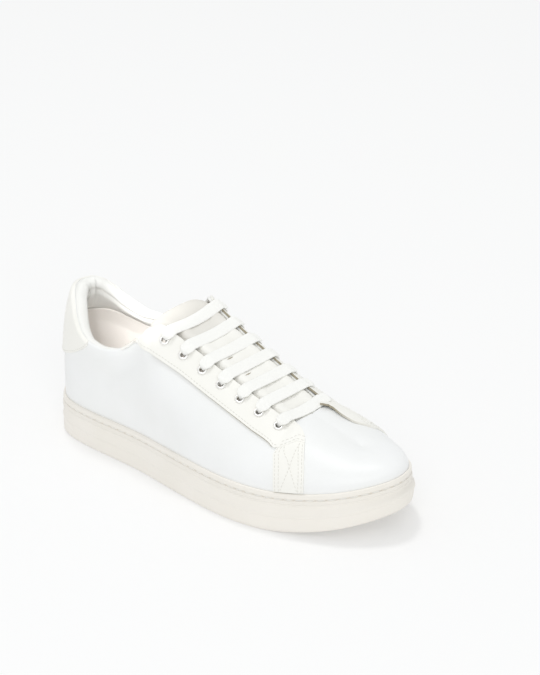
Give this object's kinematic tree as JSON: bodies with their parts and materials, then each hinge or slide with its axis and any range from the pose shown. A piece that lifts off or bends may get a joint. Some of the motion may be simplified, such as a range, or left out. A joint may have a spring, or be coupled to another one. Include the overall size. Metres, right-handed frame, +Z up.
{
  "type": "sneaker",
  "caption": "Low white lace-up leather sneaker for the right foot, on a cream rubber cupsole, with padded collar, eyestays, heel tab and straight bar lacing.",
  "frame": {"origin": "centre of the shoe's bounding box in plan, at the floor under the tread", "axes": "+X to the toe, +Y to the shoe's medial side (its left), +Z up"},
  "size_m": [0.298, 0.1082, 0.1125],
  "materials": {
    "cream rubber": "matte moulded",
    "white leather": "smooth semi-matte",
    "off-white leather": "smooth matte",
    "beige lining": "matte textile",
    "eyelet metal": "plated, satin",
    "off-white lace": "flat woven cotton"
  },
  "bodies": {
    "root": {"cupsole": "cream rubber", "insole": "beige lining", "upper": "white leather", "tongue": "off-white leather", "eyestay_lateral": "off-white leather", "eyestay_medial": "off-white leather", "heel_tab": "off-white leather", "eyelet_lateral_1": "eyelet metal", "eyelet_lateral_2": "eyelet metal", "eyelet_lateral_3": "eyelet metal", "eyelet_lateral_4": "eyelet metal", "eyelet_lateral_5": "eyelet metal", "eyelet_lateral_6": "eyelet metal", "eyelet_lateral_7": "eyelet metal", "eyelet_medial_1": "eyelet metal", "eyelet_medial_2": "eyelet metal", "eyelet_medial_3": "eyelet metal", "eyelet_medial_4": "eyelet metal", "eyelet_medial_5": "eyelet metal", "eyelet_medial_6": "eyelet metal", "eyelet_medial_7": "eyelet metal", "lace_bar_1": "off-white lace", "lace_bar_2": "off-white lace", "lace_bar_3": "off-white lace", "lace_bar_4": "off-white lace", "lace_bar_5": "off-white lace", "lace_bar_6": "off-white lace", "lace_bar_7": "off-white lace"}
  },
  "joints": []
}
